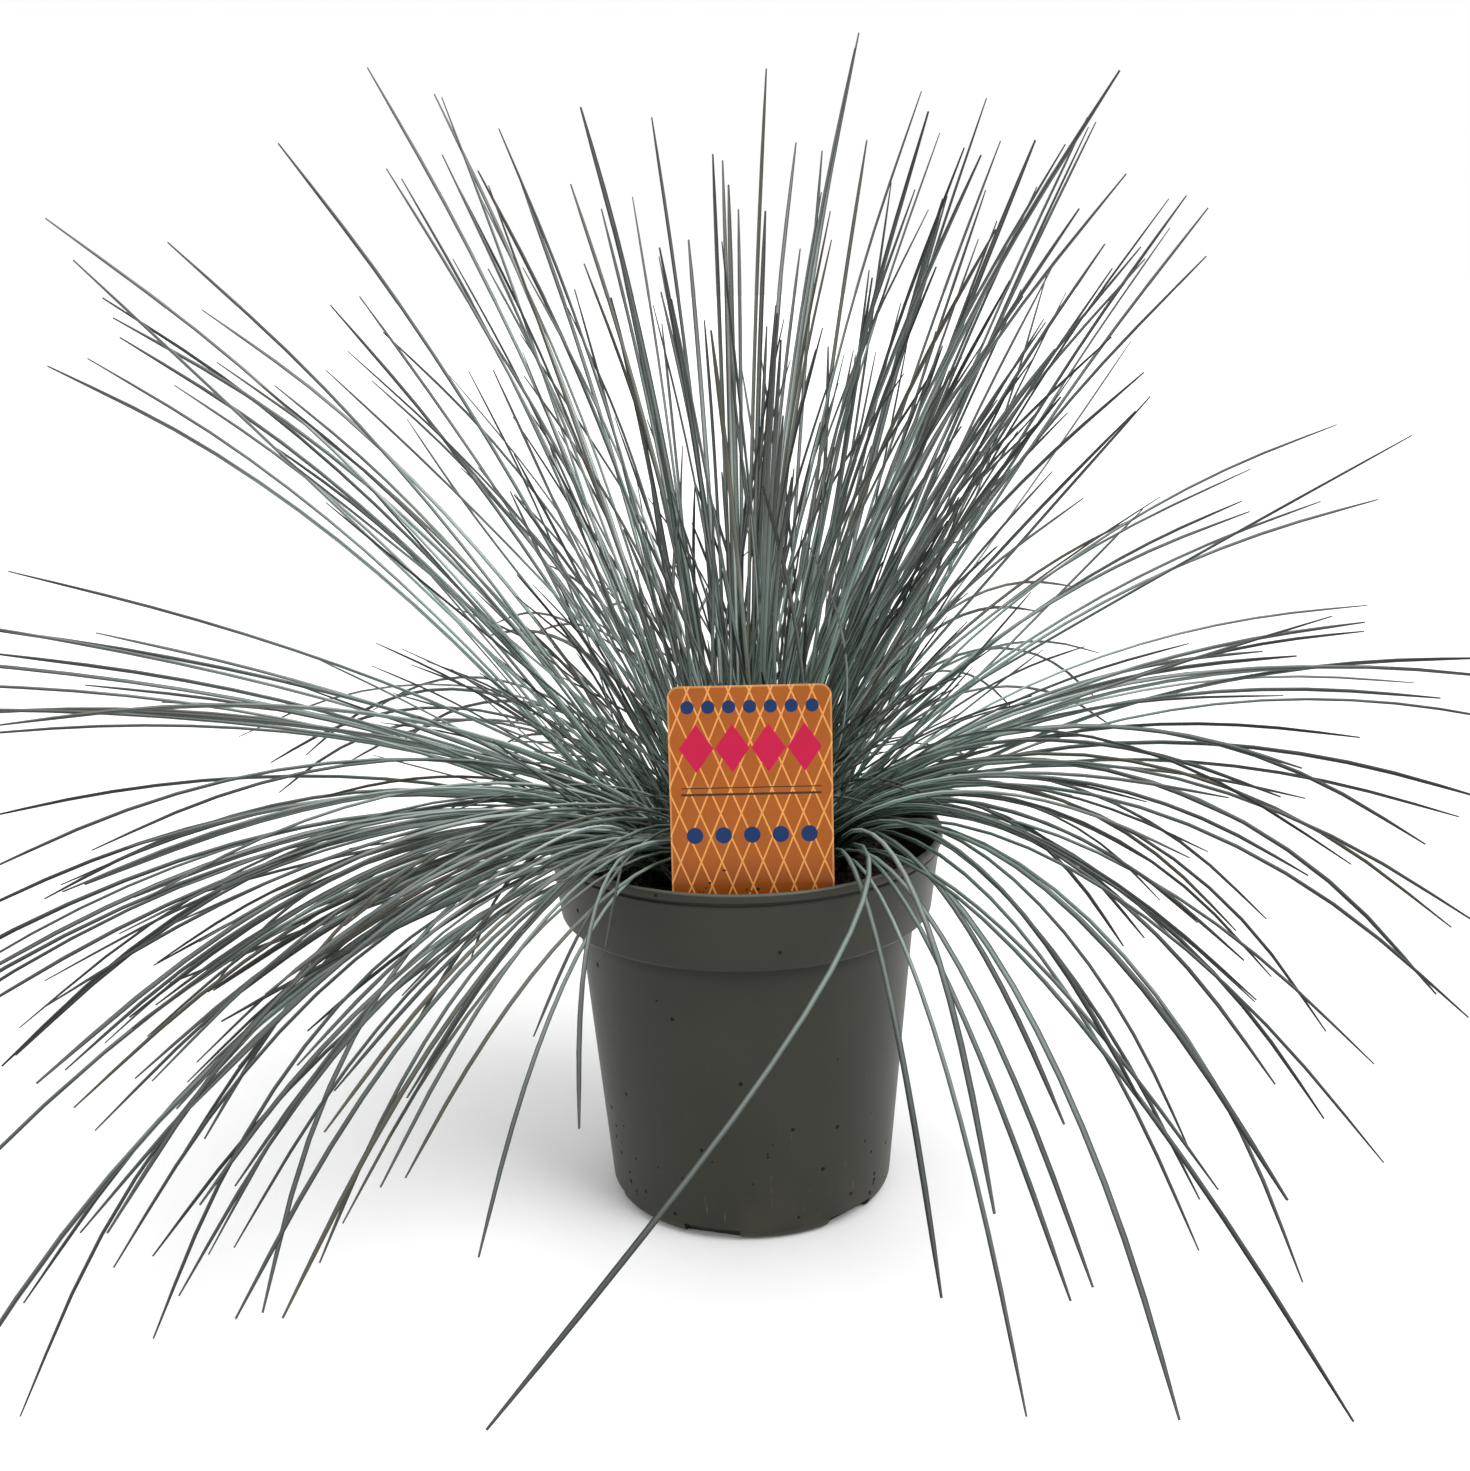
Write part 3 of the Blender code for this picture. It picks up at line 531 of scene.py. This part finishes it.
def shoot_courses(node):
    """The middle lines of a shoot's leaves, from the foot of the sheath to each tip, read off the solid."""
    solid = bmesh.new()
    solid.from_mesh(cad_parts[node].data)
    bmesh.ops.remove_doubles(solid, verts=solid.verts, dist=0.01 * MM)
    feet = [v for v in solid.verts if v.co.xy.length < CROWN_RADIUS and v.co.z < CROWN_LEVEL + MM]
    foot = sum((v.co for v in feet), Vector()) / len(feet)
    courses = []
    for tip in solid.verts:
        if len(tip.link_edges) != 3 or tip in feet:
            continue
        ring, seen, course = [tip], {tip}, []
        while len(ring) in (1, 3):
            course.append(sum((v.co for v in ring), Vector()) / len(ring))
            around = dict.fromkeys(edge.other_vert(v) for v in ring for edge in v.link_edges)
            ring = [v for v in around if v not in seen]
            seen.update(ring)
        courses.append([foot.copy()] + course[::-1])
    solid.free()
    return courses


def eased(course):
    """A course with its corners cut off, which bends evenly and keeps both its ends."""
    for _ in range(CORNER_CUTS):
        cut = [here.lerp(there, share) for here, there in zip(course, course[1:]) for share in (0.25, 0.75)]
        course = [course[0]] + cut[1:-1] + [course[-1]]
    return course


def hangs(course):
    """Whether a leaf leans so far over, from its foot to its tip, that it counts as hanging."""
    run = course[-1] - course[0]
    return math.degrees(math.atan2(run.xy.length, run.z)) > HANGING_LEAN


def kinds_beside(course):
    """The kinds of finer leaves beside a leaf, by how far it leans.

    The standing fan and the low sweep at the front left are full, and the leaves between them are sparse.
    """
    tip, run = course[-1], course[-1] - course[0]
    if hangs(course):
        return ("close", "sweeping") if tip.x < 0 and tip.y < 0 else ("close", "drooping")
    seen_lean = math.degrees(math.atan2(abs(run.x), run.z))
    return ("close", "upright", "short") if seen_lean < STANDING_LEAN else ("short",)


def finer_course(course, kind, draw):
    """A leaf that grows beside another: its course turned, tilted, leant, drawn in and curled by chance."""
    root = course[0] + Vector((draw.gauss(0, kind["shift"]), draw.gauss(0, kind["shift"]), 0.0))
    inwards = min(1.0, ROOTS_WITHIN / root.xy.length)
    shift = Vector((root.x * inwards, root.y * inwards, root.z)) - course[0]
    out = course[len(course) // 2] - course[0]
    out.z = 0.0
    aside = Vector((-out.y, out.x, 0.0)).normalized()
    turn, sweep, tilt, curl = (math.radians(draw.gauss(0, kind[name]))
                               for name in ("turn", "sweep", "tilt", "curl"))
    lean, reach = math.radians(draw.uniform(*kind["lean"])), draw.uniform(*kind["reach"])
    points = [course[0] + shift, course[1] + shift]
    runs = [there - here for here, there in zip(course[1:], course[2:])]
    for number, run in enumerate(runs):
        share = (number + 0.5) / len(runs)
        about = (Quaternion((0, 0, 1), turn + sweep * share) @ Quaternion(out, tilt)
                 @ Quaternion(aside, lean + curl * share))
        points.append(points[-1] + about @ run * reach)
    return points


def in_window(seen, window):
    left, right, low, high = window
    return left < seen.x < right and low < seen.z < high


def is_clear(spot, low, high):
    """Whether a leaf may pass a spot: in the part's box, off the floor, rim and label, and in no window."""
    if any(not low[axis] + BOX_MARGIN < spot[axis] < high[axis] - BOX_MARGIN for axis in range(3)):
        return False
    if spot.z < LOWEST_LEAF:
        return False
    if POT_MOUTH < spot.xy.length < RIM_RADIUS + OVER_RIM and spot.z < POT_HEIGHT + OVER_RIM:
        return False
    at_label = abs(spot.x - LABEL_MIDDLE) < LABEL_WIDTH / 2 + BESIDE_LABEL
    if at_label and LABEL_ROOM_FRONT < spot.y < LABEL_ROOM_BACK and spot.z < LABEL_TOP + BESIDE_LABEL:
        return False
    eye = Vector(CAMERA_PLACE)
    seen = eye.lerp(spot, (LABEL_COURSE[1][0] - eye.y) / (spot.y - eye.y))
    if spot.y < IN_FRONT and (in_window(seen, LABEL_WINDOW) or in_window(seen, POT_WINDOW)):
        return False
    return spot.y > BEHIND_CROWN or not in_window(seen, SOIL_WINDOW)


def stays_clear(points, low, high):
    return all(is_clear(here.lerp(there, quarter), low, high)
               for here, there in zip(points[1:], points[2:]) for quarter in (0.25, 0.5, 0.75, 1.0))


def course_mesh(leaves):
    """One mesh of open chains, each point with its leaf's girth, tone, dryness and twist."""
    points, edges, marks = [], [], {"girth": [], "tone": [], "dry": [], "twist": []}
    for course, *numbers in leaves:
        start = len(points)
        points += course
        edges += [(i, i + 1) for i in range(start, len(points) - 1)]
        for name, number in zip(marks, numbers):
            marks[name] += [number] * len(course)
    mesh = bpy.data.meshes.new("leaf_courses")
    mesh.from_pydata(points, edges, [])
    for name, numbers in marks.items():
        mesh.attributes.new(name, "FLOAT", "POINT").data.foreach_set("value", numbers)
    return mesh


def make_grass(material, low, high):
    draw = random.Random(SEED)
    tree = leaf_tree()
    shoots = sorted(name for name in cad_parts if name.startswith("shoot_"))
    courses = [course for node in shoots for course in shoot_courses(node)]

    def dressed(course, widths):
        girth = draw.uniform(*widths) / 2
        dry = draw.choice(DRYNESS)
        # Hanging leaves are darkened by painted shade.
        tone = draw.random() * (HANGING_SHADE if hangs(course) else 1.0)
        return eased(course), girth, tone, dry, math.radians(draw.gauss(0, LEAF_TWIST))

    main = [dressed(course, SHOOT_LEAF_WIDTHS) for course in courses]
    values = {"Steps": LEAF_STEPS, "Finish": material}
    add_piece("shoot_leaves", grown(tree, course_mesh(main), values), "fescue_leaf", *shoots)
    fine = {name: [] for name in FINE_LEAVES}
    for course in courses:
        for name in kinds_beside(course):
            kind = FINE_LEAVES[name]
            tries = (finer_course(course, kind, draw) for _ in range(TRIES_PER_LEAF * kind["count"]))
            clear = (beside for beside in tries if stays_clear(beside, low, high))
            kept = itertools.islice(clear, kind["count"])
            fine[name] += [dressed(beside, kind["widths"]) for beside in kept]
    for name, leaves in fine.items():
        add_piece(name + "_leaves", grown(tree, course_mesh(leaves), values), "fescue_leaf")
    print(f"{len(main)} leaves of the shoots, and finer ones:", {name: len(fine[name]) for name in fine})


# ---------------------------------------------------------------- pot

def rounded(corners, radius, steps=3):
    """A profile whose inner corners are rounded, each by no more than a third of the shorter side there."""
    made = [Vector(corners[0])]
    for before, corner, after in zip(corners, corners[1:], corners[2:]):
        before, corner, after = Vector(before), Vector(corner), Vector(after)
        back, on = before - corner, after - corner
        room = min(radius, back.length / 3, on.length / 3)
        start, end = corner + back.normalized() * room, corner + on.normalized() * room
        for step in range(steps + 1):
            share = step / steps
            made.append(start.lerp(corner, share).lerp(corner.lerp(end, share), share))
    made.append(Vector(corners[-1]))
    return made


def pot_profile():
    """The pot's outline as (radius, height), from the middle of its floor over the rim to its underside."""
    lip, foot_edge, corner = 0.07 * CM, 0.08 * CM, FOOT_ROUNDING
    lip_foot, groove = POT_HEIGHT - LIP_HEIGHT, COLLAR_TOP_RADIUS - LIP_GROOVE
    floor_edge, under_step, over_step = 0.25 * CM, 0.2 * CM, 0.1 * CM
    mouth_in, mouth_down = 0.02 * CM, 0.03 * CM
    inner = [
        (0.0, FLOOR), (BODY_FOOT_RADIUS - WALL - floor_edge, FLOOR), (BODY_FOOT_RADIUS - WALL, corner),
        (BODY_TOP_RADIUS - WALL, COLLAR_FOOT_HEIGHT - under_step),
        (COLLAR_FOOT_RADIUS - WALL, COLLAR_FOOT_HEIGHT + over_step),
        (COLLAR_TOP_RADIUS - WALL, lip_foot),
        (RIM_RADIUS - WALL - mouth_in, POT_HEIGHT - mouth_down)]
    outer = [
        (RIM_RADIUS - lip, POT_HEIGHT), (RIM_RADIUS, POT_HEIGHT - lip),
        (RIM_RADIUS, lip_foot + lip), (groove, lip_foot), (groove, lip_foot - LIP_GROOVE),
        (COLLAR_TOP_RADIUS, lip_foot - 2 * LIP_GROOVE),
        (COLLAR_FOOT_RADIUS, COLLAR_FOOT_HEIGHT + foot_edge),
        (COLLAR_FOOT_RADIUS - foot_edge, COLLAR_FOOT_HEIGHT),
        (BODY_TOP_RADIUS + foot_edge, COLLAR_FOOT_HEIGHT - foot_edge),
        (BODY_TOP_RADIUS, COLLAR_FOOT_HEIGHT - 3 * foot_edge)]
    outer += [(BODY_FOOT_RADIUS - corner * (1 - math.cos(a)), corner * (1 - math.sin(a)))
              for a in (math.radians(degrees) for degrees in range(0, 91, 15))]
    return rounded(inner + outer + [(0.0, 0.0)], PROFILE_ROUNDING)


def turned(profile, sides):
    """A closed mesh made by turning a profile that starts and ends on the axis."""
    shape = bmesh.new()
    rings = []
    for radius, height in profile:
        if radius < HAIR:
            rings.append([shape.verts.new((0, 0, height))] * sides)
        else:
            rings.append([shape.verts.new((radius * math.cos(math.tau * side / sides),
                                           radius * math.sin(math.tau * side / sides), height))
                          for side in range(sides)])
    for here, there in zip(rings, rings[1:]):
        for side in range(sides):
            after = (side + 1) % sides
            shape.faces.new(dict.fromkeys((here[side], there[side], there[after], here[after])))
    bmesh.ops.recalc_face_normals(shape, faces=shape.faces)
    return shape


def make_pot(material):
    shape = turned(pot_profile(), POT_SIDES)
    mesh = bpy.data.meshes.new("pot_turned")
    shape.to_mesh(mesh)
    shape.free()
    cutters = bmesh.new()
    for number in range(NOTCHES):
        turn = Matrix.Rotation(math.radians(FIRST_NOTCH) + math.tau * number / NOTCHES, 4, "Z")
        size = Matrix.Diagonal((NOTCH_DEPTH, NOTCH_WIDTH, 2 * NOTCH_HEIGHT, 1.0))
        place = turn @ Matrix.Translation((BODY_FOOT_RADIUS - NOTCH_INSET, 0, 0)) @ size
        bmesh.ops.create_cube(cutters, size=1.0, matrix=place)
    notches = bpy.data.meshes.new("notches")
    cutters.to_mesh(notches)
    cutters.free()
    blank, cutter = bpy.data.objects.new("pot_blank", mesh), bpy.data.objects.new("notch_cutter", notches)
    for thing in (blank, cutter):
        bpy.context.scene.collection.objects.link(thing)
    cut = blank.modifiers.new("notches", "BOOLEAN")
    cut.operation, cut.solver, cut.object = "DIFFERENCE", "EXACT", cutter
    finished = bpy.data.meshes.new_from_object(blank.evaluated_get(bpy.context.evaluated_depsgraph_get()))
    bpy.data.objects.remove(blank)
    bpy.data.objects.remove(cutter)
    finished.materials.clear()
    finished.materials.append(material)
    finished.shade_smooth()
    finished.set_sharp_from_angle(angle=math.radians(POT_SHARP_ANGLE))
    add_piece("nursery_pot", finished, "pot_plastic", "pot")


# ---------------------------------------------------------------- label

def label_rows():
    """Rows from the top down, as (y, z, half of the width, way that the row faces, length down the sheet)."""
    course = [Vector((y, z, width / 2)) for y, z, width in LABEL_COURSE]
    rows = []
    for step in range(LABEL_CORNER_ROWS + 1):
        angle = math.radians(90) * step / LABEL_CORNER_ROWS
        down = LABEL_CORNER * (1 - math.cos(angle))
        row = course[0].lerp(course[1], down / (course[0].y - course[1].y))
        row.z -= LABEL_CORNER * (1 - math.sin(angle))
        rows.append(row)
    numbers = [LABEL_PLATE_ROWS] + [STAKE_ROWS] * len(course)
    for upper, lower, parts in zip([rows[-1]] + course[1:], course[1:], numbers):
        rows += [upper.lerp(lower, part / parts) for part in range(1, parts + 1)]
    made, length = [], 0.0
    for number, row in enumerate(rows):
        above, below = rows[max(number - 1, 0)], rows[max(number, 1)]
        run = Vector((0.0, below.x - above.x, below.y - above.y)).normalized()
        length += (row - above).xy.length
        made.append((row.x, row.y, row.z, Vector((0.0, run.z, -run.y)), length))
    return made


def make_label(material):
    rows = label_rows()
    plate_foot = LABEL_COURSE[1][1]
    plate = next(length for y, z, half, facing, length in rows if z <= plate_foot + HAIR)
    sheet = bmesh.new()
    printed = sheet.loops.layers.uv.new("print")
    bare = sheet.verts.layers.float.new("bare")
    grids = []
    for side in (1, -1):
        grid = []
        for y, z, half, facing, length in rows:
            line = []
            for column in range(LABEL_COLUMNS + 1):
                across = half * (2 * column / LABEL_COLUMNS - 1)
                place = Vector((LABEL_MIDDLE + across, y, z)) + side * facing * LABEL_THICKNESS / 2
                vert = sheet.verts.new(place)
                vert[bare] = 0.0 if side == 1 else 1.0
                line.append(vert)
            grid.append(line)
        grids.append(grid)
    front, back = grids
    last = LABEL_COLUMNS
    for row in range(len(rows) - 1):
        for column in range(last):
            sheet.faces.new((front[row][column], front[row + 1][column],
                             front[row + 1][column + 1], front[row][column + 1]))
            sheet.faces.new((back[row][column], back[row][column + 1],
                             back[row + 1][column + 1], back[row + 1][column]))
        sheet.faces.new((front[row][0], back[row][0], back[row + 1][0], front[row + 1][0]))
        sheet.faces.new((front[row][last], front[row + 1][last], back[row + 1][last], back[row][last]))
    for column in range(last):
        sheet.faces.new((front[0][column], front[0][column + 1], back[0][column + 1], back[0][column]))
        sheet.faces.new((front[-1][column], back[-1][column], back[-1][column + 1], front[-1][column + 1]))
    lengths = {vert: length for grid in grids for line, (*_, length) in zip(grid, rows) for vert in line}
    for face in sheet.faces:
        for loop in face.loops:
            loop[printed].uv = (loop.vert.co.x - LABEL_MIDDLE, plate - lengths[loop.vert])
    bmesh.ops.recalc_face_normals(sheet, faces=sheet.faces)
    mesh = bpy.data.meshes.new("plant_label_sheet")
    sheet.to_mesh(mesh)
    sheet.free()
    mesh.materials.append(material)
    mesh.shade_smooth()
    mesh.set_sharp_from_angle(angle=math.radians(LABEL_SHARP_ANGLE))
    add_piece("printed_label", mesh, "label_plastic", "plant_label")


# ---------------------------------------------------------------- soil

def crumb_tree():
    """Scatters rough crumbs over the faces that look up, each turned and sized by chance."""
    number = "NodeSocketFloat"
    tree, given, out = tree_of("soil_crumbs", [
        ("Size", number, MM), ("Density", number, 200000.0), ("Edge", number, 0.05),
        ("Seed", "NodeSocketInt", 1), ("Finish", "NodeSocketMaterial", None)])
    place = put(tree, "GeometryNodeInputPosition").outputs[0]
    normal = put(tree, "GeometryNodeInputNormal").outputs[0]
    facing = put(tree, "ShaderNodeSeparateXYZ", {0: normal}).outputs["Z"]
    flat = put(tree, "ShaderNodeVectorMath", {0: place, 1: (1.0, 1.0, 0.0)}, operation="MULTIPLY").outputs[0]
    out_from_middle = put(tree, "ShaderNodeVectorMath", {0: flat}, operation="LENGTH").outputs["Value"]
    top = calc(tree, "GREATER_THAN", facing, FACING_UP)
    strewn = put(tree, "GeometryNodeDistributePointsOnFaces", {
        "Mesh": given["Start"], "Selection": top, "Density": given["Density"], "Seed": given["Seed"]})
    near = calc(tree, "GREATER_THAN", out_from_middle, given["Edge"])
    kept = put(tree, "GeometryNodeDeleteGeometry", {"Geometry": strewn.outputs["Points"], "Selection": near},
               domain="POINT").outputs[0]
    crumb = put(tree, "GeometryNodeMeshIcoSphere", {"Radius": given["Size"], "Subdivisions": 1}).outputs[0]

    def chance(kind, low, high, seed):
        made = put(tree, "FunctionNodeRandomValue", {"Seed": seed}, data_type=kind)
        plain = kind == "FLOAT"
        made.inputs[2 if plain else 0].default_value = low
        made.inputs[3 if plain else 1].default_value = high
        return made.outputs[1 if plain else 0]

    turn = put(tree, "FunctionNodeEulerToRotation",
               {0: chance("FLOAT_VECTOR", (0, 0, 0), (math.tau, math.tau, math.tau), 2)}).outputs[0]
    uneven = chance("FLOAT_VECTOR", (0.4, 0.4, 0.3), (1.5, 1.2, 0.9), 3)
    size = put(tree, "ShaderNodeVectorMath", {0: uneven, "Scale": chance("FLOAT", 0.4, 1.2, 4)},
               operation="SCALE").outputs[0]
    set_down = put(tree, "GeometryNodeInstanceOnPoints", {"Points": kept, "Instance": crumb, "Rotation": turn,
                                                          "Scale": size}).outputs[0]
    toned = stored(tree, set_down, "tone", chance("FLOAT", 0.0, 1.0, 5), "INSTANCE")
    whole = put(tree, "GeometryNodeRealizeInstances", {"Geometry": toned}).outputs[0]
    done = put(tree, "GeometryNodeSetMaterial", {"Geometry": whole, "Material": given["Finish"]}).outputs[0]
    tree.links.new(done, out["Finished"])
    return tree


def make_soil(material):
    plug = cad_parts["soil"]
    for slot in plug.material_slots:
        slot.material = material
    mesh = plug.data.copy()
    mesh.materials.clear()
    values = {"Size": CRUMB_SIZE, "Density": CRUMBS_PER_AREA, "Edge": CRUMB_EDGE, "Seed": SEED,
              "Finish": material}
    add_piece("soil_crumbs", grown(crumb_tree(), mesh, values), "potting_soil")


# ---------------------------------------------------------------- studio

def make_studio(material):
    mesh = bpy.data.meshes.new("floor")
    reach = 6.0
    mesh.from_pydata([(-reach, -reach, 0), (reach, -reach, 0), (reach, reach, 0), (-reach, reach, 0)], [],
                     [(0, 1, 2, 3)])
    mesh.materials.append(material)
    floor = bpy.data.objects.new("studio_floor", mesh)
    bpy.context.scene.collection.objects.link(floor)
    world = bpy.data.worlds.new("studio_light")
    world.use_nodes = True
    world.node_tree.nodes["Background"].inputs["Color"].default_value = (1.0, 1.0, 1.0, 1.0)
    world.node_tree.nodes["Background"].inputs["Strength"].default_value = 1.0
    bpy.context.scene.world = world
    for name, shines_from, spread_angle, power in (("key", (0.8, -0.55, 1.2), 35, 2.2),
                                                   ("fill", (-0.6, -0.8, 0.7), 60, 0.3)):
        lamp = bpy.data.lights.new(name, "SUN")
        lamp.angle, lamp.energy = math.radians(spread_angle), power
        holder = bpy.data.objects.new(name, lamp)
        holder.location = shines_from
        holder.rotation_euler = (-Vector(shines_from)).to_track_quat("-Z", "Y").to_euler()
        bpy.context.scene.collection.objects.link(holder)


def make_camera():
    lens = bpy.data.cameras.new("studio_camera")
    lens.lens = CAMERA_LENS
    lens.sensor_width = CAMERA_SENSOR
    camera = bpy.data.objects.new("studio_camera", lens)
    camera.matrix_world = (Matrix.Translation(CAMERA_PLACE)
                           @ Matrix.Rotation(math.radians(90 - CAMERA_PITCH), 4, "X")
                           @ Matrix.Rotation(math.radians(CAMERA_ROLL), 4, "Z"))
    bpy.context.scene.collection.objects.link(camera)
    bpy.context.scene.camera = camera


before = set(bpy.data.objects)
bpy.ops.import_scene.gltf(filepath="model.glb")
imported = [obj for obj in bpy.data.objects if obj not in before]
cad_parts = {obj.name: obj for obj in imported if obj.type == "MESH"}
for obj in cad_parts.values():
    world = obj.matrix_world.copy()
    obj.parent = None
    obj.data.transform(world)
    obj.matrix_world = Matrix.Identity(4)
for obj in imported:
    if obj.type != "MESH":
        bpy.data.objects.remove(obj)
cad_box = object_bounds()
MOTTLING = mottling_group()
SPECKS = speck_group()
make_grass(leaf_finish(), *cad_box)
make_pot(pot_finish())
make_label(label_finish())
make_soil(soil_finish())
make_studio(floor_finish())
make_camera()
bpy.context.scene.view_settings.view_transform = "Standard"
